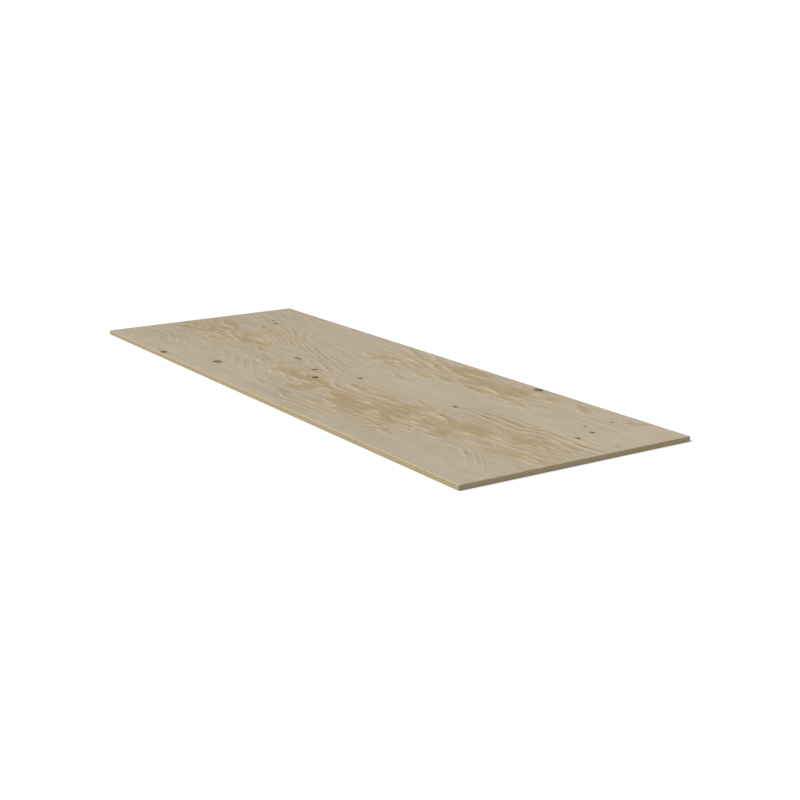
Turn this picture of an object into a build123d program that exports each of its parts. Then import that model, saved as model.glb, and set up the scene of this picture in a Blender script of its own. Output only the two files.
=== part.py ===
from build123d import *

import os

# Five-ply softwood plywood sheet, lying flat with its face veneer up.
# Millimetres: X along the length and the face grain, Y across the width, Z up.
# The origin is the centre of the underside.

# Sheet, trimmed square
sheet_length = 1830.0
sheet_width = 610.0

# Balanced lay-up: the grain of the outer veneers and the core runs along the length,
# and the grain of the two crossbands runs across it
outer_thickness = 2.2
crossband_thickness = 2.6
core_thickness = 2.4

# Arris round each outer face, eased by sanding
arris_radius = 1.0

up = Axis.Z
down = Axis.Z.reverse()

# Veneers from the underside up: name, thickness and the side that was sanded
lay_up = [
    ("back_veneer", outer_thickness, down),
    ("lower_crossband", crossband_thickness, None),
    ("core_veneer", core_thickness, None),
    ("upper_crossband", crossband_thickness, None),
    ("face_veneer", outer_thickness, up),
]

os.makedirs("parts", exist_ok=True)

glue_line = 0.0
for name, thickness, sanded_side in lay_up:
    with BuildPart() as veneer:
        with BuildSketch(Plane.XY.offset(glue_line)):
            Rectangle(sheet_length, sheet_width)
        extrude(amount=thickness)
        if sanded_side:
            sanded_face = veneer.faces().sort_by(sanded_side)[-1]
            fillet(sanded_face.edges(), radius=arris_radius)

    veneer.part.label = name
    export_step(veneer.part, f"parts/{name}.step")

    # The next veneer is glued on top of this one
    glue_line += thickness
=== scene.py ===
import math

import bpy
import numpy as np
from mathutils import Euler, Matrix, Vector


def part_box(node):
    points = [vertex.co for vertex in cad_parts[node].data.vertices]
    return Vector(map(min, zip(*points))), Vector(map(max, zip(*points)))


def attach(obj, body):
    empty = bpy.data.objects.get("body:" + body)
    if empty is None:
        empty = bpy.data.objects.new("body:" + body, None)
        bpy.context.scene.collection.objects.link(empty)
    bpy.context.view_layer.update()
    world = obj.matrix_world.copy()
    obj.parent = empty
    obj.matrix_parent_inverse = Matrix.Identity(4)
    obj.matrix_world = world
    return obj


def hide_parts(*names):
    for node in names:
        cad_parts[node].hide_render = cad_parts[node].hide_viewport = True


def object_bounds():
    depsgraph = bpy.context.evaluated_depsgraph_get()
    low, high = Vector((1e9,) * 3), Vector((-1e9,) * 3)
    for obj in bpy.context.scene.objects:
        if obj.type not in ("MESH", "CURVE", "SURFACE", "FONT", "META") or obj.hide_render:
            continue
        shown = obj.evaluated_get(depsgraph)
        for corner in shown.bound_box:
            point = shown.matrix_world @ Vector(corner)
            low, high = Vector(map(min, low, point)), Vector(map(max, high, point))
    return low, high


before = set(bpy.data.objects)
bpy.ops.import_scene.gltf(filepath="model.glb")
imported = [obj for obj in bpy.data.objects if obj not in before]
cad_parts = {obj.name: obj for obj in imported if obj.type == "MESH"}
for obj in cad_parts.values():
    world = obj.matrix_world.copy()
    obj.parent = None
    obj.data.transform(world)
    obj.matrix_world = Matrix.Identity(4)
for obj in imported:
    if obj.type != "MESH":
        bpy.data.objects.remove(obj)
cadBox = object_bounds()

mm = 0.001
white = (1, 1, 1, 1)

# settings that many nodes share
times = {"operation": "MULTIPLY"}
plus = {"operation": "ADD"}
timesPlus = {"operation": "MULTIPLY_ADD"}
colours = {"data_type": "RGBA"}
floats = {"data_type": "FLOAT"}
smoothStep = {"interpolation_type": "SMOOTHSTEP"}


# sRGB hex to the linear colour that sockets take
def linear(code):
    parts = [int(code[k:k + 2], 16) / 255 for k in (1, 3, 5)]
    return [c / 12.92 if c <= 0.04045 else ((c + 0.055) / 1.055) ** 2.4 for c in parts] + [1.0]


# adds a node, sets it, links or sets its inputs, and hands back one of its outputs;
# inputs go by name or number, or as a list in the node's own order
def addNode(tree, kind, settings=None, inputs=(), out=0):
    node = tree.nodes.new(kind)
    for name, value in (settings or {}).items():
        if name == "stops":
            marks = node.color_ramp.elements
            while len(marks) < len(value):
                marks.new(1.0)
            for mark, (place, code) in zip(marks, value):
                mark.position = place
                mark.color = linear(code)
        else:
            setattr(node, name, value)
    pairs = inputs.items() if isinstance(inputs, dict) else enumerate(inputs)
    for socket, value in pairs:
        if isinstance(value, bpy.types.NodeSocket):
            tree.links.new(value, node.inputs[socket])
        else:
            node.inputs[socket].default_value = value
    return node.outputs[out] if len(node.outputs) else node


def newMaterial(name):
    material = bpy.data.materials.new(name)
    material.use_nodes = True
    material.node_tree.nodes.clear()
    return material, material.node_tree


# an empty node group for a modifier, with one input for each thing a user may change
def newGroup(name, inputs):
    tree = bpy.data.node_groups.new(name, "GeometryNodeTree")
    tree.interface.new_socket("Geometry", in_out="INPUT", socket_type="NodeSocketGeometry")
    for label, kind in inputs.items():
        tree.interface.new_socket(label, in_out="INPUT", socket_type="NodeSocket" + kind)
    tree.interface.new_socket("Geometry", in_out="OUTPUT", socket_type="NodeSocketGeometry")
    return tree, tree.nodes.new("NodeGroupInput").outputs


# runs a node group on a piece and keeps what it gives as a plain mesh
def runGroup(piece, tree, values):
    modifier = piece.modifiers.new(tree.name, "NODES")
    modifier.node_group = tree
    for item in tree.interface.items_tree:
        if item.in_out == "INPUT" and item.name in values:
            modifier[item.identifier] = values[item.name]
    graph = bpy.context.evaluated_depsgraph_get()
    made = bpy.data.meshes.new_from_object(
        piece.evaluated_get(graph), preserve_all_data_layers=True, depsgraph=graph)
    piece.modifiers.remove(modifier)
    blank = piece.data
    piece.data = made
    bpy.data.meshes.remove(blank)
    made.name = piece.name


def addObject(name, data):
    piece = bpy.data.objects.new(name, data)
    bpy.context.scene.collection.objects.link(piece)
    return piece


# one float for each point of a mesh
def addLayer(mesh, label, values):
    layer = mesh.attributes.new(label, "FLOAT", "POINT")
    layer.data.foreach_set("value", np.asarray(values, np.float32))


# camera where the photograph was taken from
photoView = {
    "place": (3.0596, -1.7983, 0.8558),  # metres
    "azimuth": 57.606,  # degrees, 0 looks along +Y
    "elevation": 14.431,  # degrees above the floor
    "roll": 0.629,  # degrees, clockwise, as the camera was held
    "lens": 63.54,  # mm
}
cameraData = bpy.data.cameras.new("photoCamera")
cameraData.lens = photoView["lens"]
camera = addObject("photoCamera", cameraData)
camera.location = photoView["place"]
turned = Euler((math.radians(90 - photoView["elevation"]), 0, math.radians(photoView["azimuth"])))
rolled = turned.to_matrix() @ Matrix.Rotation(math.radians(-photoView["roll"]), 3, "Z")
camera.rotation_euler = rolled.to_euler()
scene = bpy.context.scene
scene.camera = camera
scene.view_settings.view_transform = "Standard"
print("camera ready")


# soft studio: an even sky, one broad lamp over the near long edge, and a white floor
studio = {
    "sky": 0.5,  # strength of its light; looked at, it is white
    "lamp": 2.17,  # watts per square metre
    "lampFrom": (-0.15, -0.475, 0.55),  # direction, of any length
    "lampSpread": 28,  # degrees across, for soft shadows
    "floorBounce": "#c4c4c4",  # what the floor sends back up, about half of the light
    "floorGlow": 0.06,  # lifts the floor to white where it is looked at
    "floorSize": 30.0,  # metres
}
world = bpy.data.worlds.new("studioSky")
world.use_nodes = True
scene.world = world
sky = world.node_tree
sky.nodes.clear()


# one wherever the background is looked at, straight or by reflection, and zero where it only lights
def seenDirectly(tree):
    rays = tree.nodes.new("ShaderNodeLightPath").outputs
    seen = rays["Is Camera Ray"]
    for other in ("Is Glossy Ray", "Is Transmission Ray"):
        seen = addNode(tree, "ShaderNodeMath", {"operation": "MAXIMUM"}, [seen, rays[other]])
    return seen


skyLevel = addNode(sky, "ShaderNodeMapRange", None, {0: seenDirectly(sky), 3: studio["sky"], 4: 1.0})
skyLight = addNode(sky, "ShaderNodeBackground", None, {"Color": white, "Strength": skyLevel})
addNode(sky, "ShaderNodeOutputWorld", None, {"Surface": skyLight})

lampData = bpy.data.lights.new("softLamp", "SUN")
lampData.energy = studio["lamp"]
lampData.angle = math.radians(studio["lampSpread"])
lamp = addObject("softLamp", lampData)
fromX, fromY, fromZ = studio["lampFrom"]
lamp.rotation_euler = (math.atan2(math.hypot(fromX, fromY), fromZ), 0, math.atan2(fromX, -fromY))

half = studio["floorSize"] / 2
corners = [(-half, -half, 0), (half, -half, 0), (half, half, 0), (-half, half, 0)]
floorMesh = bpy.data.meshes.new("floor")
floorMesh.from_pydata(corners, [], [(0, 1, 2, 3)])
floor = addObject("floor", floorMesh)
floorPaint, tree = newMaterial("whiteStudioFloor")
seen = seenDirectly(tree)
bounce = linear(studio["floorBounce"])
paint = addNode(tree, "ShaderNodeMix", colours, {0: seen, 6: bounce, 7: white}, out=2)
glow = addNode(tree, "ShaderNodeMath", times, [seen, studio["floorGlow"]])
shader = addNode(tree, "ShaderNodeBsdfPrincipled", None, {
    "Base Color": paint, "Roughness": 1.0, "Specular IOR Level": 0.0,
    "Emission Color": white, "Emission Strength": glow})
addNode(tree, "ShaderNodeOutputMaterial", None, {"Surface": shader})
floorMesh.materials.append(floorPaint)
print("studio ready")


# The figure of a peeled veneer. s runs along the grain from the near short end and t across it
# from the far long edge, both in millimetres. One unit of the ring field is one year's ring.

# sum of random waves, long with the grain and short across it; a wave is (reach, length, width),
# and the sum stays within about twice the reach
def grainNoise(s, t, wave, seed, count=40):
    reach, along, across = wave
    dice = np.random.default_rng(seed)
    steep = dice.normal(size=(count, 2)) / (along, across)
    start = dice.uniform(0, 2 * math.pi, count)
    total = np.zeros_like(s)
    for (stepS, stepT), first in zip(steep, start):
        total += np.cos(stepS * s + stepT * t + first)
    return reach * (total / math.sqrt(count / 2))


# how a hill falls off: a plain bell, or a flatter top with steeper sides
bell = 1.0
flameTop = 1.4
flatTop = 1.5


# smooth hills; each is (s, t, half length, half width, turn in degrees, rise)
def hills(s, t, spots, power):
    total = np.zeros_like(s)
    for atS, atT, halfLength, halfWidth, turn, rise in spots:
        c, d = math.cos(math.radians(turn)), math.sin(math.radians(turn))
        u = ((s - atS) * c - (t - atT) * d) / halfLength
        v = ((s - atS) * d + (t - atT) * c) / halfWidth
        total += rise * np.exp(-(u * u + v * v) ** power)
    return total


faceFigure = {
    "seed": 11,
    # broad tan flames of late wood
    "flames": [
        (180, 320, 45, 55, 0, 1.0), (328, 357, 78, 30, 0, 1.15), (338, 420, 32, 34, 0, 0.95),
        (128, 400, 40, 18, 0, 0.9), (212, 405, 30, 14, 0, 0.7), (528, 405, 40, 85, 0, 1.15),
        (585, 400, 36, 20, 0, 0.5), (400, 508, 28, 18, 0, 0.75), (480, 500, 26, 13, 0, 0.7),
        (425, 430, 32, 50, 0, 0.65), (532, 62, 36, 40, 0, 1.1), (575, 75, 50, 36, 0, 0.85),
        (318, 48, 34, 30, 0, 0.6), (438, 42, 32, 22, 0, 0.65), (410, 140, 26, 14, 0, 0.75),
        (470, 125, 40, 18, 0, 0.7), (590, 142, 45, 13, 0, 0.95), (80, 188, 24, 18, 0, 0.65),
        (40, 355, 30, 60, 0, 0.5), (160, 38, 30, 30, 0, 0.5), (690, 85, 60, 26, 0, 1.15),
        (755, 55, 60, 28, 0, 1.0), (800, 40, 30, 20, 0, 0.8), (715, 143, 32, 14, 0, 0.85),
        (800, 160, 30, 18, 0, 0.75), (1012, 140, 34, 28, 0, 0.6), (690, 455, 80, 32, 0, 1.15),
        (775, 435, 40, 16, 0, 0.8), (660, 352, 90, 12, -2, 0.7), (905, 435, 36, 50, 0, 1.0),
        (960, 420, 50, 40, 0, 0.85), (1055, 415, 60, 30, 0, 0.75), (715, 508, 28, 12, 0, 0.75),
        (835, 535, 40, 22, 0, 0.6), (615, 510, 30, 12, 0, 0.65), (1185, 392, 60, 12, 33, 0.75),
        (1225, 412, 45, 10, 28, 0.7), (1130, 445, 36, 9, 33, 0.65), (1385, 340, 36, 28, 0, 0.7),
        (1470, 347, 34, 20, 0, 0.8), (1540, 290, 80, 26, 4, 0.52), (1665, 335, 48, 46, 0, 0.64),
        (1775, 365, 36, 32, 0, 0.85), (1790, 400, 24, 18, 0, 0.6), (1735, 268, 85, 28, 0, 0.52),
        (1640, 40, 30, 24, 0, 0.5), (1600, 205, 32, 18, 0, 0.45), (1590, 392, 50, 13, 0, 0.5),
        (665, 92, 55, 22, 0, 0.7), (905, 490, 50, 20, 0, 0.75), (705, 114, 55, 16, 0, 0.9),
        (1765, 408, 40, 18, 0, 0.5),
    ],
    # warm stretches round the flames, and cooler ones below zero
    "warm": [
        (180, 350, 230, 82, 0, 0.9), (560, 440, 300, 92, 0, 1.0), (640, 75, 300, 78, 0, 0.95),
        (960, 425, 150, 70, 0, 0.9), (1420, 335, 130, 45, 0, 0.7), (1640, 300, 240, 120, 0, 0.76),
        (1010, 130, 120, 60, 0, 0.5), (330, 265, 170, 45, 0, 0.5), (1200, 395, 80, 30, 0, 0.5),
        (720, 370, 170, 45, 0, 0.6), (1300, 110, 450, 130, 0, 0.6), (1550, 470, 260, 110, 0, 0.4),
        (150, 130, 180, 90, 0, 0.15), (600, 575, 300, 40, 0, 0.45), (1050, 358, 90, 28, 0, 0.5),
        (340, 480, 80, 22, 0, -0.6), (890, 78, 60, 30, 0, -0.4),
    ],
    # where the edges of the rings show as bundles of lines
    "bundles": [
        (85, 262, 110, 48, 0, 0.9), (310, 268, 140, 46, 0, 1.0), (455, 345, 60, 30, 0, 0.9),
        (700, 375, 170, 50, 0, 0.9), (1080, 280, 170, 40, 8, 0.75), (1320, 235, 200, 75, 13, 0.7),
        (250, 468, 170, 28, 0, 0.35), (140, 480, 60, 36, 0, 0.06), (640, 540, 200, 40, 0, 0.45),
        (1200, 480, 60, 40, 0, 0.3), (1650, 470, 120, 40, 8, 0.4), (1250, 90, 130, 60, 10, 0.2),
        (1650, 90, 150, 60, 10, 0.45), (1740, 265, 90, 40, 0, 0.7), (960, 545, 80, 40, 8, 0.6),
        (840, 225, 50, 25, 0, 0.8), (230, 110, 120, 40, 0, 0.4), (1010, 70, 120, 60, 8, 0.4),
        (1590, 240, 70, 30, 5, 0.5), (450, 450, 60, 60, 0, 1.0), (900, 120, 110, 80, 0, 0.4),
    ],
    # where the lines swing aside; the rise is in millimetres
    "swings": [
        (700, 250, 260, 90, 0, -25), (1640, 500, 160, 80, 0, 30), (980, 60, 160, 90, 0, 30),
        (420, 420, 70, 120, 0, 25), (195, 255, 40, 40, 0, 14), (260, 275, 50, 40, 0, -10),
        (80, 290, 60, 40, 0, -8),
    ],
    # cathedral arches: s, t, half length, half width, share of rings that come on top or fall out
    "arches": [(300, 650, 270, 200, -0.25)],
    # darker stretches, and lighter ones below zero; the rise is the share of the light that it takes. The
    # broad darkening of the far end and the lightening of the near end are painted shade and painted light
    # standing for a lamp's fall-off along the sheet; the small spots are the wood's own tone
    "shade": [
        (1830, 60, 420, 240, 0, 0.08), (1350, 380, 260, 110, 0, 0.045), (1780, 430, 200, 220, 0, 0.05),
        (870, 485, 110, 70, 0, 0.065), (680, 60, 110, 60, 0, 0.05), (80, 160, 190, 120, 0, -0.05),
        (640, 455, 36, 28, 0, -0.06), (1150, 560, 500, 50, 0, 0.03),
    ],
    "slant": (900, 0.27),  # beyond this s the lines slant by this much
    # where the rings are narrow, or wide below zero; the rise is the share of rings that come on top
    "tight": [
        (1290, 240, 280, 110, 0, 0.7), (1620, 470, 160, 90, 0, 0.4),
        (250, 262, 260, 50, 0, -0.45), (720, 375, 170, 50, 0, -0.3),
    ],
    # pale stretches where the knife stayed in one ring, so hardly a line shows
    "plain": [
        (680, 245, 150, 60, 0, 0.35), (250, 545, 170, 58, 0, 0.05), (1090, 555, 130, 45, 0, 0.2),
        (1285, 322, 80, 24, 8, 0.4), (1470, 525, 170, 75, 0, 0.25), (50, 110, 90, 75, 0, 0.2),
        (330, 170, 170, 38, 0, 0.3), (1180, 110, 160, 75, 0, 0.3), (1450, 95, 240, 90, 0, 0.45),
    ],
    # s, t, radius across the grain, stretch along it, turn, darkness
    "knots": [
        (513, 15, 10.0, 1.5, 0, 0.2), (142, 155, 5.0, 1.1, 10, 0.55), (125, 210, 5.2, 1.3, -10, 0.0),
        (190, 134, 3.0, 1.3, 0, 0.1), (181, 66, 3.0, 1.3, 0, 0.2), (495, 275, 4.8, 1.6, 5, 0.4),
        (869, 310, 5.0, 1.8, 10, 0.15), (1166, 330, 5.0, 3.2, 12, 0.3), (1022, 358, 6.5, 1.2, 8, 0.5),
        (946, 399, 8.5, 1.2, 0, 0.8), (1335, 356, 4.8, 1.4, 8, 0.2), (1258, 526, 11.8, 1.2, 0, 0.1),
        (1456, 597, 8.5, 1.4, 0, 0.7), (1627, 156, 5.5, 1.5, 15, 0.3), (1678, 137, 4.0, 1.4, 15, 0.2),
        (1606, 208, 4.5, 1.4, 0, 0.2),
    ],
}
backFigure = {
    "seed": 61,
    "flames": [
        (220, 210, 70, 34, 0, 1.0), (410, 190, 90, 24, 0, 1.05), (690, 250, 60, 40, 0, 1.0),
        (930, 300, 110, 26, 0, 1.05), (1180, 420, 80, 30, 0, 0.95), (1420, 380, 60, 44, 0, 1.0),
        (1600, 150, 80, 24, 0, 1.0), (560, 480, 90, 28, 0, 0.9), (300, 250, 60, 20, 0, 0.7),
        (800, 320, 70, 18, 0, 0.75), (1300, 370, 80, 20, 0, 0.8), (1040, 340, 60, 22, 0, 0.7),
    ],
    "warm": [
        (340, 210, 280, 80, 0, 0.8), (820, 280, 260, 80, 0, 0.8), (1300, 400, 260, 90, 0, 0.75),
        (1600, 160, 160, 60, 0, 0.6), (580, 490, 160, 50, 0, 0.5),
    ],
    "bundles": [
        (300, 300, 260, 52, 0, 0.9), (760, 180, 240, 46, 0, 0.8), (1180, 290, 260, 60, 0, 1.0),
        (1560, 420, 220, 44, 0, 0.8), (380, 520, 220, 40, 0, 0.6), (1020, 520, 240, 42, 0, 0.7),
        (1640, 240, 160, 40, 0, 0.7), (180, 80, 200, 36, 0, 0.5), (1260, 80, 240, 44, 0, 0.7),
    ],
    "swings": [
        (400, 340, 300, 120, 0, 45), (1000, 200, 300, 120, 0, -40), (1500, 450, 260, 110, 0, 35),
    ],
    "arches": [(620, -60, 380, 200, 0.2), (1380, 690, 320, 230, 0.3)],
    "shade": [(300, 200, 300, 150, 0, 0.03), (1400, 300, 400, 200, 0, -0.03)],
    "slant": (300, -0.06),
    "tight": [(1180, 290, 260, 90, 0, 0.5), (380, 480, 220, 80, 0, 0.4)],
    "plain": [(560, 330, 180, 40, 0, 0.3), (980, 120, 150, 40, 0, 0.25), (1340, 540, 190, 50, 0, 0.3)],
    "knots": [
        (268, 372, 9, 1.2, 0, 0.8), (640, 96, 6, 1.3, 8, 0.6), (905, 452, 12, 1.1, 0, 0.9),
        (1105, 205, 5, 1.3, 0, 0.5), (1388, 268, 8, 1.2, -6, 0.7), (1532, 506, 5.5, 1.4, 0, 0.6),
        (1706, 92, 7, 1.2, 5, 0.8), (84, 540, 5, 1.2, 0, 0.5),
    ],
}


# rules that turn the lists into a figure; a random wave is (reach, length along the grain, width across it)
peeling = {
    "ringWidth": 24.0,  # mm from line to line, where the rings are neither narrow nor wide
    "paleDrop": 7.0,  # mm from a flame to the pale line along its lower side
    "fingers": (30, 110, 4.0),  # mm, sharp ends of the flames
    "fingerShare": 0.8,  # share of that reach by which the flames are drawn out
    "drift": (18, 220, 16),  # mm along the grain, flames
    "sway": (5, 120, 36),  # mm across the grain, flames and lines
    "flakes": (0.42, 34, 8),  # small flames in the warm stretches
    "fullFlame": 1.2,  # no flame is stronger than this
    "flameParting": (1.2, 0.85),  # lines part this much wider than a flame, by this share
    "knotParting": (5.0, 2.6, 0.8),  # length and width in radii of the knot, share
    "slantEase": 60.0,  # mm over which the slant begins
    "archRim": 1.2,  # an arch ends here, as a share of its size
    "archEdge": 10,  # and the higher this is, the more suddenly
    "archWave": (0.04, 60, 40),  # share of its size
    "years": {3: (12, 260, 70), 4: (5, 170, 22), 7: (1.8, 24, 30)},  # mm, each by its step from the seed
    "lineStrength": (0.12, 0.55),  # in plain wood, and what warm wood adds
    "lineShare": 0.85,  # share of that strength which shows, more or less by the next wave
    "lineWave": (0.3, 120, 20),
    "stainReach": (2.4, 1.2, 0.5),  # length and width in radii of the knot, strength
}


# ring field, flames of late wood, their pale lines, warmth, strength of the lines, shade (painted shade and
# painted light along the sheet, with some of the wood's own tone) and knot stain
def veneerFigure(s, t, figure):
    seed = figure["seed"]
    zone = np.clip(hills(s, t, figure["warm"], flatTop), 0, 1)
    # flames end in sharp fingers that point along the grain
    drawnOut = peeling["fingerShare"] * peeling["fingers"][0]
    s2 = s + (drawnOut - np.abs(grainNoise(s, t, peeling["fingers"], seed)))
    s2 += grainNoise(s, t, peeling["drift"], seed + 1)
    t2 = t + grainNoise(s, t, peeling["sway"], seed + 2)
    # each flame has a pale line along its lower side, which is the flame once more, a little lower
    flame, pale = [
        hills(s2, t2 - drop, figure["flames"], flameTop)
        + zone ** 2 * grainNoise(s2, t2 - drop, peeling["flakes"], seed + 6)
        for drop in (0, peeling["paleDrop"])]
    # lines run along the grain, part round the flames and the knots, slant and swing aside
    wider, share = peeling["flameParting"]
    partings = [
        (atS, atT, wider * halfLength, wider * halfWidth, 0, share * min(rise, 1))
        for atS, atT, halfLength, halfWidth, turn, rise in figure["flames"]]
    long, wide, share = peeling["knotParting"]
    partings += [
        (atS, atT, long * radius * stretch, wide * radius, 0, share)
        for atS, atT, radius, stretch, turn, dark in figure["knots"]]
    across = t2
    for parting in partings:
        across = across - hills(s2, across, [parting], bell) * (across - parting[1])
    first, slant = figure["slant"]
    ease = peeling["slantEase"]
    across = across + slant * np.logaddexp(0, (s - first) / ease) * ease
    across += hills(s, t, figure["swings"], bell)
    for spot in figure["tight"]:
        middle = spot[1] + slant * np.logaddexp(0, (spot[0] - first) / ease) * ease
        across = across + hills(s, t, [spot], flatTop) * (across - middle)
    for atS, atT, halfLength, halfWidth, share in figure["arches"]:
        bow = np.hypot((s - atS) / halfLength, (t - atT) / halfWidth)
        bow += grainNoise(s, t, peeling["archWave"], seed + 8)
        inside = np.exp(-(bow / peeling["archRim"]) ** peeling["archEdge"])
        outward = math.copysign(halfWidth, cadBox[1].y / mm - atT) * (1 + share)
        across = across * (1 - inside) + (atT + outward * (bow - 1)) * inside
    # uneven rings: some years are wide and some narrow
    for step, wave in peeling["years"].items():
        across += grainNoise(s, t, wave, seed + step)
    plainWood, warmWood = peeling["lineStrength"]
    lines = plainWood + warmWood * zone
    lines += hills(s, t, figure["bundles"], flatTop) - hills(s, t, figure["plain"], flatTop)
    lines *= peeling["lineShare"] + grainNoise(s, t, peeling["lineWave"], seed + 5)
    # resin stains the wood beside each knot
    long, wide, strength = peeling["stainReach"]
    halo = [
        (atS, atT, long * radius * stretch, wide * radius, turn, strength)
        for atS, atT, radius, stretch, turn, dark in figure["knots"]]
    return {
        "ring": across / peeling["ringWidth"],
        "lateWood": np.clip(flame, 0, peeling["fullFlame"]),
        "palePine": np.clip(pale, 0, peeling["fullFlame"]),
        "warmth": zone,
        "lines": np.clip(lines, 0, 1),
        "shade": hills(s, t, figure["shade"], bell),
        "stain": np.clip(hills(s, t, halo, bell), 0, 1),
    }


sandedVeneer = {
    "cells": (352, 234),  # along and across the grain, about 5 by 2.6 mm
    "arris": 1.0,  # mm, radius that the sanding left
    "arrisSteps": 4,
    "sharpFrom": 40,  # degrees
    "faceDepth": 0.12,  # mm that the soft wood lies below the knots
    "ringHeight": 0.05,  # mm that late wood stands up after sanding
    "fibreHeight": 0.03,  # mm
    "fibreLength": 70.0,  # mm
    "fibreWidth": 7.0,  # mm
}


# closed blank of an outer veneer: a fine grid over the sanded face, the eased arris, the edges
# and the glued side
def veneerBlank(name, node, figure, up):
    low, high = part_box(node)
    arris = sandedVeneer["arris"] * mm
    bend = np.linspace(0, math.pi / 2, sandedVeneer["arrisSteps"] + 1)[1:]
    out = arris * np.sin(bend)
    drop = arris * (1 - np.cos(bend))
    lines = []
    falls = []
    for first, last, cells in zip(low, high, sandedVeneer["cells"]):
        flat = np.linspace(first + arris, last - arris, cells + 1)
        lines.append(np.concatenate([flat[0] - out[::-1], flat, flat[-1] + out]))
        falls.append(np.concatenate([drop[::-1], np.zeros(cells + 1), drop]))
    x, y = np.meshgrid(lines[0], lines[1], indexing="ij")
    fall = np.maximum.outer(falls[0], falls[1])
    z = high.z - fall if up else low.z + fall
    countX, countY = x.shape
    grid = np.arange(x.size).reshape(x.shape)
    # the outline, once round, and a copy of it on the glued side
    rim = np.concatenate([grid[:, 0], grid[-1, 1:], grid[-2::-1, -1], grid[0, -2:0:-1]])
    turns = len(rim)
    lower = np.arange(turns) + x.size
    points = np.stack([x.ravel(), y.ravel(), z.ravel()], 1)
    glued = points[rim].copy()
    glued[:, 2] = low.z if up else high.z
    points = np.concatenate([points, glued])
    squares = np.stack([grid[:-1, :-1], grid[1:, :-1], grid[1:, 1:], grid[:-1, 1:]], -1)
    faces = squares.reshape(-1, 4).tolist()
    following = np.roll(np.arange(turns), -1)
    faces += np.stack([rim, lower, lower[following], rim[following]], 1).tolist()
    # glued side: strips across, with a fan at each end
    far = 2 * countX + countY - 3
    for k in range(1, countX - 2):
        faces.append([lower[k], lower[far - k], lower[far - k - 1], lower[k + 1]])
    for first, last in ((countX - 2, countX + countY - 1), (far - 1, turns + 1)):
        path = lower[np.arange(first, last + 1) % turns]
        faces += [[path[0], path[k + 1], path[k]] for k in range(1, len(path) - 1)]
    if not up:
        faces = [face[::-1] for face in faces]
    mesh = bpy.data.meshes.new(name)
    mesh.from_pydata(points.tolist(), [], faces)
    mesh.shade_smooth()
    mesh.set_sharp_from_angle(angle=math.radians(sandedVeneer["sharpFrom"]))
    s = (cadBox[1].x - points[:, 0]) / mm
    t = (cadBox[1].y - points[:, 1]) / mm
    layers = veneerFigure(s, t, figure)
    # one on the flat of the face, minus one underneath, and zero on the arris and all that is below it
    layers["sanded"] = np.zeros(len(points))
    layers["sanded"][:x.size] = (fall.ravel() == 0) * (1.0 if up else -1.0)
    for label, values in layers.items():
        addLayer(mesh, label, values)
    return addObject(name, mesh)


# Geometry Nodes: soft early wood is sanded lower than late wood, and fibres stand up a little
reliefTree, reliefIn = newGroup("sandedRelief", {
    "Face Depth": "Float", "Ring Height": "Float", "Fibre Height": "Float", "Fibre Length": "Float",
    "Fibre Width": "Float", "Seed": "Int", "Veneer": "Material"})
ringValue = addNode(reliefTree, "GeometryNodeInputNamedAttribute", floats, {"Name": "ring"})
side = addNode(reliefTree, "GeometryNodeInputNamedAttribute", floats, {"Name": "sanded"})
ringLift = addNode(reliefTree, "ShaderNodeMath", times, [ringValue, -2 * math.pi])
ringLift = addNode(reliefTree, "ShaderNodeMath", {"operation": "SINE"}, [ringLift])
ringLift = addNode(reliefTree, "ShaderNodeMath", times, [ringLift, reliefIn["Ring Height"]])
fibreSize = addNode(reliefTree, "ShaderNodeCombineXYZ", None, [
    reliefIn["Fibre Length"], reliefIn["Fibre Width"], reliefIn["Fibre Width"]])
place = addNode(reliefTree, "GeometryNodeInputPosition")
fibrePlace = addNode(reliefTree, "ShaderNodeVectorMath", {"operation": "DIVIDE"}, [place, fibreSize])
fibre = addNode(reliefTree, "ShaderNodeTexNoise", {"noise_dimensions": "4D"}, {
    "Vector": fibrePlace, "W": reliefIn["Seed"], "Scale": 1.0, "Detail": 2.0})
fibreLift = addNode(reliefTree, "ShaderNodeMath", times, [fibre, reliefIn["Fibre Height"]])
lift = addNode(reliefTree, "ShaderNodeMath", plus, [ringLift, fibreLift])
lift = addNode(reliefTree, "ShaderNodeMath", {"operation": "SUBTRACT"}, [lift, reliefIn["Face Depth"]])
lift = addNode(reliefTree, "ShaderNodeMath", times, [lift, side])
offset = addNode(reliefTree, "ShaderNodeCombineXYZ", None, {2: lift})
shape = addNode(reliefTree, "GeometryNodeSetPosition", None, {
    "Geometry": reliefIn["Geometry"], "Offset": offset})
shape = addNode(reliefTree, "GeometryNodeRealizeInstances", None, [shape])
shape = addNode(reliefTree, "GeometryNodeSetMaterial", None, {
    "Geometry": shape, "Material": reliefIn["Veneer"]})
addNode(reliefTree, "NodeGroupOutput", None, [shape])


# Geometry Nodes: one knot on each listed point, a low plug with a wandering outline
knotPlugs = {
    "sides": 28,
    "rings": 4,
    "depth": 0.9,  # mm
    "crown": 0.09,  # share of the depth that the outline dips, down to the soft wood round it
    "crownCurve": 3.0,
    "wander": 0.16,  # share of the radius
    "wanderSize": 7.0,  # mm
}
knotTree, knotIn = newGroup("knotPlugs", {
    "Sides": "Int", "Rings": "Int", "Depth": "Float", "Crown": "Float", "Crown Curve": "Float",
    "Wander": "Float", "Wander Size": "Float", "Seed": "Int", "Knot": "Material"})
blank = addNode(knotTree, "GeometryNodeMeshCylinder", {"fill_type": "TRIANGLE_FAN"}, {
    "Vertices": knotIn["Sides"], "Fill Segments": knotIn["Rings"], "Radius": 1.0, "Depth": 1.0})
place = addNode(knotTree, "GeometryNodeInputPosition")
flatPlace = addNode(knotTree, "ShaderNodeVectorMath", times, [place, (1, 1, 0)])
fromMiddle = addNode(knotTree, "ShaderNodeVectorMath", {"operation": "LENGTH"}, [flatPlace], out=1)
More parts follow.
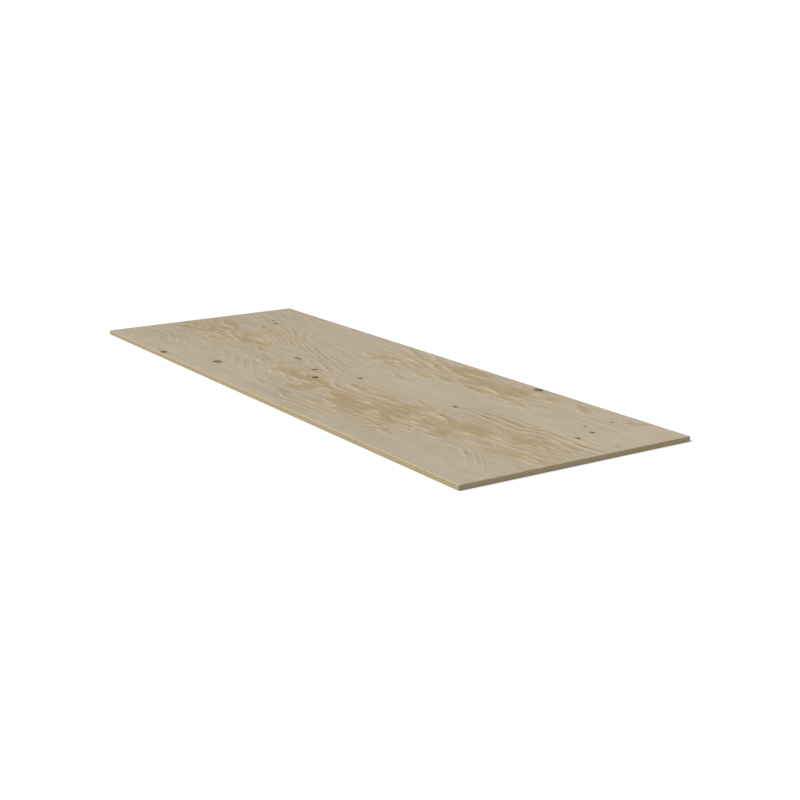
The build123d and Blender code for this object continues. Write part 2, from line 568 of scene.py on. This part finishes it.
dip = addNode(knotTree, "ShaderNodeMath", {"operation": "POWER"}, [fromMiddle, knotIn["Crown Curve"]])
dip = addNode(knotTree, "ShaderNodeMath", times, [dip, knotIn["Crown"]])
dip = addNode(knotTree, "ShaderNodeMath", times, [dip, -1.0])
dip = addNode(knotTree, "ShaderNodeCombineXYZ", None, {2: dip})
blank = addNode(knotTree, "GeometryNodeSetPosition", None, {"Geometry": blank, "Offset": dip})
blank = addNode(knotTree, "GeometryNodeStoreNamedAttribute", {"data_type": "FLOAT_VECTOR"}, {
    "Geometry": blank, "Name": "spot", "Value": place})
listed = {}
for label in ("radius", "stretch", "turn", "tip"):
    listed[label] = addNode(knotTree, "GeometryNodeInputNamedAttribute", floats, {"Name": label})
length = addNode(knotTree, "ShaderNodeMath", times, [listed["radius"], listed["stretch"]])
scaleBy = addNode(knotTree, "ShaderNodeCombineXYZ", None, [length, listed["radius"], knotIn["Depth"]])
turnBy = addNode(knotTree, "ShaderNodeCombineXYZ", None, {0: listed["tip"], 2: listed["turn"]})
knots = addNode(knotTree, "GeometryNodeInstanceOnPoints", None, {
    "Points": knotIn["Geometry"], "Instance": blank, "Rotation": turnBy, "Scale": scaleBy})
knots = addNode(knotTree, "GeometryNodeRealizeInstances", None, [knots])
# the outline wanders to both sides, and the height stays
wanderPlace = addNode(knotTree, "ShaderNodeVectorMath", {"operation": "DIVIDE"}, [
    place, knotIn["Wander Size"]])
wander = addNode(knotTree, "ShaderNodeTexNoise", {"noise_dimensions": "4D"}, {
    "Vector": wanderPlace, "W": knotIn["Seed"], "Scale": 1.0, "Detail": 2.0}, out=1)
wander = addNode(knotTree, "ShaderNodeVectorMath", {"operation": "SUBTRACT"}, [wander, (0.5, 0.5, 0.5)])
wander = addNode(knotTree, "ShaderNodeVectorMath", times, [wander, (2, 2, 0)])
reach = addNode(knotTree, "ShaderNodeMath", times, [listed["radius"], knotIn["Wander"]])
wander = addNode(knotTree, "ShaderNodeVectorMath", {"operation": "SCALE"}, {0: wander, "Scale": reach})
knots = addNode(knotTree, "GeometryNodeSetPosition", None, {"Geometry": knots, "Offset": wander})
knots = addNode(knotTree, "GeometryNodeSetShadeSmooth", None, {"Geometry": knots})
knots = addNode(knotTree, "GeometryNodeSetMaterial", None, {"Geometry": knots, "Material": knotIn["Knot"]})
addNode(knotTree, "NodeGroupOutput", None, [knots])


def knotPoints(name, node, figure, up):
    low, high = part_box(node)
    depth = knotPlugs["depth"] * mm
    level = high.z - depth / 2 if up else low.z + depth / 2
    atS, atT, radius, stretch, turn, dark = np.array(figure["knots"], float).T
    mesh = bpy.data.meshes.new(name)
    places = [(cadBox[1].x - s * mm, cadBox[1].y - t * mm, level) for s, t in zip(atS, atT)]
    mesh.from_pydata(places, [], [])
    addLayer(mesh, "radius", radius * mm)
    addLayer(mesh, "stretch", stretch)
    addLayer(mesh, "tip", np.full(len(atS), 0.0 if up else math.pi))  # those underneath are turned over
    addLayer(mesh, "turn", np.radians(turn))
    addLayer(mesh, "dark", dark)
    return addObject(name, mesh)


# a noise drawn out along the grain: sizes are those of one streak in millimetres along X, Y and Z
def grainStreaks(tree, place, sizes, seed, detail):
    elsewhere = [seed * step for step in (7.3, 3.1, 1.7)]  # each seed reads another part of the noise
    scaled = addNode(tree, "ShaderNodeMapping", None, {
        "Vector": place, "Location": elsewhere, "Scale": [1 / (size * mm) for size in sizes]})
    return addNode(tree, "ShaderNodeTexNoise", None, {"Vector": scaled, "Scale": 1.0, "Detail": detail})


def woodShader(tree, colour, grit, finish):
    bump = addNode(tree, "ShaderNodeBump", None, {
        "Strength": 1.0, "Distance": finish["gritDepth"] * mm, "Height": grit})
    shader = addNode(tree, "ShaderNodeBsdfPrincipled", None, {
        "Base Color": colour, "Roughness": finish["roughness"], "IOR": finish["ior"],
        "Specular IOR Level": finish["gloss"], "Normal": bump})
    addNode(tree, "ShaderNodeOutputMaterial", None, {"Surface": shader})


# Trimmed edge of softwood veneer, cut with a fine circular saw: along the grain it is pale and streaked,
# across the grain the open fibre ends soak up light and look darker and speckled.
sawnEdge = {
    "longGrain": [(0.3, "#b6a683"), (0.62, "#c3b593")],  # streaks and the wood between them
    "endGrain": [(0.38, "#a3936e"), (0.58, "#b9aa86")],  # speckles and the wood between them
    "check": "#6f5c3c",  # lathe checks, small cracks from the peeling
    "checkShare": (0.66, 0.72, 0.0, 0.7),  # from, to, and what the two ends give
    "glueLine": "#7d6a49",
    "glueWidth": 0.16,  # mm, drawn twice as wide as it is so that it shows
    "glueShare": 0.8,  # how far it hides the wood
    # patterns: mm along X, Y and Z, seed and detail
    "fibre": ((0.6, 0.6, 0.5), 4, 3.0),  # finer in life, drawn coarser so that they show
    "bands": ((16, 16, 0.6), 6, 3.0),
    "checks": ((0.5, 0.5, 3.0), 7, 1.0),
    "fibreLength": 45.0,  # mm along the grain
    "bandShare": 0.55,
    "roughness": 0.75,
    "ior": 1.5,
    "gloss": 0.2,
    "gritDepth": 0.12,  # mm
}
alongX = 0
alongY = 1


def sawnEdgeColour(tree, place, grainAxis, glueHeights):
    normal = addNode(tree, "ShaderNodeNewGeometry", out=1)
    facing = addNode(tree, "ShaderNodeSeparateXYZ", None, [normal], out=grainAxis)
    facing = addNode(tree, "ShaderNodeMath", {"operation": "ABSOLUTE"}, [facing])
    endOn = addNode(tree, "ShaderNodeMath", {"operation": "GREATER_THAN"}, [facing, 0.5])
    sizes, seed, detail = sawnEdge["fibre"]
    speckle = grainStreaks(tree, place, sizes, seed, detail)
    bands = grainStreaks(tree, place, *sawnEdge["bands"])
    speckle = addNode(tree, "ShaderNodeMix", floats, {0: sawnEdge["bandShare"], 2: speckle, 3: bands})
    checks = grainStreaks(tree, place, *sawnEdge["checks"])
    checks = addNode(tree, "ShaderNodeMapRange", None, [checks, *sawnEdge["checkShare"]])
    drawnOut = list(sizes)
    drawnOut[grainAxis] = sawnEdge["fibreLength"]
    streak = grainStreaks(tree, place, drawnOut, seed + 1, detail)
    colour = addNode(tree, "ShaderNodeValToRGB", {"stops": sawnEdge["longGrain"]}, [streak])
    endColour = addNode(tree, "ShaderNodeValToRGB", {"stops": sawnEdge["endGrain"]}, [speckle])
    endColour = addNode(tree, "ShaderNodeMix", colours, {
        0: checks, 6: endColour, 7: linear(sawnEdge["check"])}, out=2)
    # a dark line at the nearest glue line
    height = addNode(tree, "ShaderNodeSeparateXYZ", None, [place], out=2)
    nearest = None
    for level in glueHeights:
        apart = addNode(tree, "ShaderNodeMath", {"operation": "SUBTRACT"}, [height, level])
        apart = addNode(tree, "ShaderNodeMath", {"operation": "ABSOLUTE"}, [apart])
        nearest = apart if nearest is None else addNode(
            tree, "ShaderNodeMath", {"operation": "MINIMUM"}, [nearest, apart])
    width = sawnEdge["glueWidth"] * mm
    glue = addNode(tree, "ShaderNodeMapRange", None, [nearest, width / 2, width, sawnEdge["glueShare"], 0.0])
    for share, over in ((endOn, endColour), (glue, linear(sawnEdge["glueLine"]))):
        colour = addNode(tree, "ShaderNodeMix", colours, {0: share, 6: colour, 7: over}, out=2)
    grit = addNode(tree, "ShaderNodeMix", floats, {0: endOn, 2: streak, 3: speckle})
    return colour, grit


def plyMaterial(name, grainAxis, glueHeights):
    material, tree = newMaterial(name)
    place = addNode(tree, "ShaderNodeTexCoord", out=3)
    colour, grit = sawnEdgeColour(tree, place, grainAxis, glueHeights)
    woodShader(tree, colour, grit, sawnEdge)
    return material


# Pine veneer, peeled from a turning log and sanded: pale early wood and tan late wood meet at a sharp pale
# line on one side of each ring and fade on the other, fine fibres run along it, and it has hardly any gloss.
peeledPine = {
    "earlyWood": "#b5a893",
    "warmWood": "#b3a48b",
    "paleLine": "#c3b498",
    "flames": [(0.36, "#a89878"), (0.44, "#ae9f82"), (0.7, "#a9997a"), (1.0, "#a4936f")],
    "resin": "#b49877",  # some flames are richer in resin, and redder
    # what a ring takes from the light across its width
    "rings": [(0.0, "#ffffff"), (0.24, "#ffffff"), (0.34, "#efe8da"), (0.7, "#e8dfce"), (0.88, "#d0c1a7"),
              (0.96, "#c0af90"), (1.0, "#ffffff")],
    "stain": "#9a8259",
    "duct": "#8f7850",  # resin ducts, short brown dashes
    "arris": "#c4b38e",  # painted highlight along the top arris of the near long edge, which faces the lamp
    "paintedUnderArrisShade": "#9d8a63",  # painted shade along the lower arris of the near long edge, where it turns down into the contact shadow on the floor
    "paintedArrisWidth": (4.5, 1.35),  # mm from the near long edge where the painted highlight or painted shade starts, and where it is full
    "edgeBlend": (0.3, 0.9),  # mm below the face where the sawn edge starts, and where it is full
    # streaks: mm along the grain, mm across it and detail; each takes the next seed
    "streaks": {
        "fine": (85, 4.5, 3.0),
        "broad": (260, 16, 2.0),
        "patchy": (70, 12, 3.0),
        "mottle": (90, 32, 3.0),
        "fibre": (30, 0.8, 2.0),  # several fibres in one, so that they show
        "ducts": (16, 0.7, 0.0),
    },
    "jags": (0.12, 0.5),  # how far fine and patchy streaks jag the flames
    "ringJag": 0.35,  # and how far fine ones jag the rings
    "mottleJag": 0.5,  # and how far they break up the mottle
    "flameEdge": (0.31, 0.37),  # where a flame starts, and where it is full
    "paleEdge": (0.26, 0.36),
    "inFlames": 0.6,  # share of a line's strength that is lost inside the flames
    "lineLift": 0.07,  # what wood with strong lines gains in brightness
    "fibreGrit": 0.25,  # share of the fibres in the grit, beside the fine streaks
    # ranges of a streak or a ring: from, to, and what the two ends give
    "resinShare": (0.46, 0.62, 0.0, 0.6),
    "lineShare": (0.32, 0.62, 0.3, 1.0),
    "paleShare": (0.2, 0.06, 0.0, 0.75),
    "ductShare": (0.69, 0.76, 0.0, 0.45),
    "streakTone": (0.6, 1.4, 0.91, 1.09),
    "mottleTone": (0.68, 0.80, 1.01, 0.95),
    "fibreTone": (0.3, 0.7, 0.955, 1.045),
    "roughness": 0.68,
    "ior": 1.5,
    "gloss": 0.2,
    "gritDepth": 0.12,  # mm
}


def veneerMaterial(name, node, up, seed, glueHeight):
    material, tree = newMaterial(name)
    low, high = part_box(node)
    place = addNode(tree, "ShaderNodeTexCoord", out=3)
    figure = {}
    for layer in ("ring", "lateWood", "palePine", "warmth", "lines", "shade", "stain"):
        figure[layer] = addNode(tree, "ShaderNodeAttribute", {"attribute_name": layer}, out=2)
    streaks = {}
    for step, (label, (length, width, detail)) in enumerate(peeledPine["streaks"].items()):
        streaks[label] = grainStreaks(tree, place, (length, width, width), seed + step, detail)
    fine = streaks["fine"]
    patchy = streaks["patchy"]
    warmWood = linear(peeledPine["warmWood"])
    paleLine = linear(peeledPine["paleLine"])

    # streaks jag the flames, as far outwards as inwards
    fineJag, patchyJag = peeledPine["jags"]
    jag = addNode(tree, "ShaderNodeMath", timesPlus, [fine, fineJag, -(fineJag + patchyJag) / 2])
    jag = addNode(tree, "ShaderNodeMath", timesPlus, [patchy, patchyJag, jag])
    pale = addNode(tree, "ShaderNodeMath", plus, [figure["palePine"], jag])
    pale = addNode(tree, "ShaderNodeMapRange", smoothStep, [pale, *peeledPine["paleEdge"]])
    flame = addNode(tree, "ShaderNodeMath", plus, [figure["lateWood"], jag])
    burn = addNode(tree, "ShaderNodeMapRange", smoothStep, [flame, *peeledPine["flameEdge"]])
    tan = addNode(tree, "ShaderNodeValToRGB", {"stops": peeledPine["flames"]}, [flame])
    resin = addNode(tree, "ShaderNodeMapRange", None, [patchy, *peeledPine["resinShare"]])
    tan = addNode(tree, "ShaderNodeMix", colours, {0: resin, 6: tan, 7: linear(peeledPine["resin"])}, out=2)
    colour = linear(peeledPine["earlyWood"])
    for share, over in ((figure["warmth"], warmWood), (pale, paleLine), (burn, tan)):
        colour = addNode(tree, "ShaderNodeMix", colours, {0: share, 6: colour, 7: over}, out=2)

    # each ring darkens towards its late side and starts pale again, less so inside the flames
    ring = addNode(tree, "ShaderNodeMath", timesPlus, [fine, peeledPine["ringJag"], figure["ring"]])
    turn = addNode(tree, "ShaderNodeMath", {"operation": "FRACT"}, [ring])
    take = addNode(tree, "ShaderNodeValToRGB", {"stops": peeledPine["rings"]}, [turn])
    fade = addNode(tree, "ShaderNodeMapRange", None, [patchy, *peeledPine["lineShare"]])
    outside = addNode(tree, "ShaderNodeMath", timesPlus, [burn, -peeledPine["inFlames"], 1.0])
    for factor in (figure["lines"], outside):
        fade = addNode(tree, "ShaderNodeMath", times, [fade, factor])
    colour = addNode(tree, "ShaderNodeMix", {"data_type": "RGBA", "blend_type": "MULTIPLY"}, {
        0: fade, 6: colour, 7: take}, out=2)
    glow = addNode(tree, "ShaderNodeMapRange", None, [turn, *peeledPine["paleShare"]])
    glow = addNode(tree, "ShaderNodeMath", times, [glow, fade])
    colour = addNode(tree, "ShaderNodeMix", colours, {0: glow, 6: colour, 7: paleLine}, out=2)

    # light and dark streaks, duller stretches, the painted shade and painted light of the shade layer, and
    # single fibres
    tone = addNode(tree, "ShaderNodeMath", plus, [fine, streaks["broad"]])
    tone = addNode(tree, "ShaderNodeMapRange", None, [tone, *peeledPine["streakTone"]])
    crest = addNode(tree, "ShaderNodeMath", timesPlus, [fade, peeledPine["lineLift"], 1.0])
    mottle = addNode(tree, "ShaderNodeMath", timesPlus, [fine, peeledPine["mottleJag"], streaks["mottle"]])
    mottle = addNode(tree, "ShaderNodeMapRange", None, [mottle, *peeledPine["mottleTone"]])
    # painted shade toward the far end and painted light at the near end, standing for a lamp's fall-off,
    # plus a few spots of the wood's own tone
    paintedShadeAndTone = addNode(tree, "ShaderNodeMath", {"operation": "SUBTRACT"}, [1.0, figure["shade"]])
    strand = addNode(tree, "ShaderNodeMapRange", None, [streaks["fibre"], *peeledPine["fibreTone"]])
    for factor in (crest, mottle, paintedShadeAndTone, strand):
        tone = addNode(tree, "ShaderNodeMath", times, [tone, factor])
    colour = addNode(tree, "ShaderNodeVectorMath", {"operation": "SCALE"}, {0: colour, "Scale": tone})

    # resin ducts, stains beside the knots, and along the near long arris a painted highlight on the face
    # veneer or painted shade on the back veneer
    ducts = addNode(tree, "ShaderNodeMapRange", None, [streaks["ducts"], *peeledPine["ductShare"]])
    fromSide = addNode(tree, "ShaderNodeSeparateXYZ", None, [place], out=1)
    # painted highlight on the face veneer and painted shade on the back veneer, along the near long edge
    # only
    paintedArrisBand = [low.y + width * mm for width in peeledPine["paintedArrisWidth"]]
    rim = addNode(tree, "ShaderNodeMapRange", None, [fromSide, *paintedArrisBand])
    arris = peeledPine["arris" if up else "paintedUnderArrisShade"]
    for share, code in ((ducts, peeledPine["duct"]), (figure["stain"], peeledPine["stain"]), (rim, arris)):
        colour = addNode(tree, "ShaderNodeMix", colours, {0: share, 6: colour, 7: linear(code)}, out=2)

    # the figure ends on the arris, and the sawn edge begins
    edgeColour, edgeGrit = sawnEdgeColour(tree, place, alongX, [glueHeight])
    height = addNode(tree, "ShaderNodeSeparateXYZ", None, [place], out=2)
    blend = [high.z - depth * mm if up else low.z + depth * mm for depth in peeledPine["edgeBlend"]]
    onEdge = addNode(tree, "ShaderNodeMapRange", smoothStep, [height, *blend])
    colour = addNode(tree, "ShaderNodeMix", colours, {0: onEdge, 6: colour, 7: edgeColour}, out=2)
    grit = addNode(tree, "ShaderNodeMix", floats, {
        0: peeledPine["fibreGrit"], 2: fine, 3: streaks["fibre"]})
    grit = addNode(tree, "ShaderNodeMix", floats, {0: onEdge, 2: grit, 3: edgeGrit})
    woodShader(tree, colour, grit, peeledPine)
    return material


# Pine knot, cut across and sanded with the veneer: dense, resinous and dark, with rings of its own,
# darkest at the bark round it and at its dried heart, and a little smoother than the wood about it.
pineKnot = {
    "heart": "#3a2509",
    "wood": "#8a7146",
    "bark": "#533c18",
    "zones": [(0.1, "heart"), (0.42, "wood"), (0.82, "wood"), (0.92, "bark")],  # shares of the radius
    "ringWidth": 0.17,  # share of the radius
    "ringShare": (-0.2, 1.0, 0.0, 0.6),  # from, to, and what the two ends give
    "grain": ((3.0, 3.0, 3.0), 9, 3.0),  # mm along X, Y and Z, seed and detail
    "grainJag": 0.35,  # how far it jags the rings
    "roughness": 0.55,
    "ior": 1.5,
    "gloss": 0.05,
    "gritDepth": 0.2,  # mm
}


def knotMaterial():
    material, tree = newMaterial("pineKnotSandedFlush")
    place = addNode(tree, "ShaderNodeTexCoord", out=3)
    spot = addNode(tree, "ShaderNodeAttribute", {"attribute_name": "spot"}, out=1)
    dark = addNode(tree, "ShaderNodeAttribute", {"attribute_name": "dark"}, out=2)
    flat = addNode(tree, "ShaderNodeVectorMath", times, [spot, (1, 1, 0)])
    fromHeart = addNode(tree, "ShaderNodeVectorMath", {"operation": "LENGTH"}, [flat], out=1)
    grain = grainStreaks(tree, place, *pineKnot["grain"])
    rings = addNode(tree, "ShaderNodeMath", timesPlus, [grain, pineKnot["grainJag"], fromHeart])
    stops = [(share, pineKnot[zone]) for share, zone in pineKnot["zones"]]
    colour = addNode(tree, "ShaderNodeValToRGB", {"stops": stops}, [rings])
    wave = addNode(tree, "ShaderNodeMath", times, [rings, 2 * math.pi / pineKnot["ringWidth"]])
    wave = addNode(tree, "ShaderNodeMath", {"operation": "SINE"}, [wave])
    wave = addNode(tree, "ShaderNodeMapRange", None, [wave, *pineKnot["ringShare"]])
    for share, zone in ((wave, "bark"), (dark, "heart")):
        over = linear(pineKnot[zone])
        colour = addNode(tree, "ShaderNodeMix", colours, {0: share, 6: colour, 7: over}, out=2)
    woodShader(tree, colour, grain, pineKnot)
    return material


# glue lines between the veneers, from the underside up
lowerVeneers = ("back_veneer", "lower_crossband", "core_veneer", "upper_crossband")
glueHeights = [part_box(node)[1].z for node in lowerVeneers]
crossbandPly = plyMaterial("pineCrossbandSawnEdge", alongY, glueHeights)
corePly = plyMaterial("pineCoreSawnEdge", alongX, glueHeights[1:3])
innerVeneers = {"upper_crossband": crossbandPly, "lower_crossband": crossbandPly, "core_veneer": corePly}
for node, material in innerVeneers.items():
    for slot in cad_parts[node].material_slots:
        slot.material = material
print("inner veneers ready")

knotWood = knotMaterial()
outerVeneers = [
    ("faceVeneer", "faceKnots", "face_veneer", faceFigure, True, glueHeights[-1]),
    ("backVeneer", "backKnots", "back_veneer", backFigure, False, glueHeights[0]),
]
for veneerName, knotName, node, figure, up, glueHeight in outerVeneers:
    wood = veneerMaterial("pinePeeledAndSanded_" + node, node, up, figure["seed"], glueHeight)
    veneer = veneerBlank(veneerName, node, figure, up)
    runGroup(veneer, reliefTree, {
        "Face Depth": sandedVeneer["faceDepth"] * mm, "Ring Height": sandedVeneer["ringHeight"] * mm,
        "Fibre Height": sandedVeneer["fibreHeight"] * mm, "Fibre Length": sandedVeneer["fibreLength"] * mm,
        "Fibre Width": sandedVeneer["fibreWidth"] * mm, "Seed": figure["seed"], "Veneer": wood})
    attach(veneer, "root")
    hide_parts(node)
    knots = knotPoints(knotName, node, figure, up)
    runGroup(knots, knotTree, {
        "Sides": knotPlugs["sides"], "Rings": knotPlugs["rings"], "Depth": knotPlugs["depth"] * mm,
        "Crown": knotPlugs["crown"], "Crown Curve": knotPlugs["crownCurve"], "Wander": knotPlugs["wander"],
        "Wander Size": knotPlugs["wanderSize"] * mm, "Seed": figure["seed"], "Knot": knotWood})
    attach(knots, "root")
    print(veneerName, len(veneer.data.polygons), "faces,", knotName, len(knots.data.polygons), "faces")
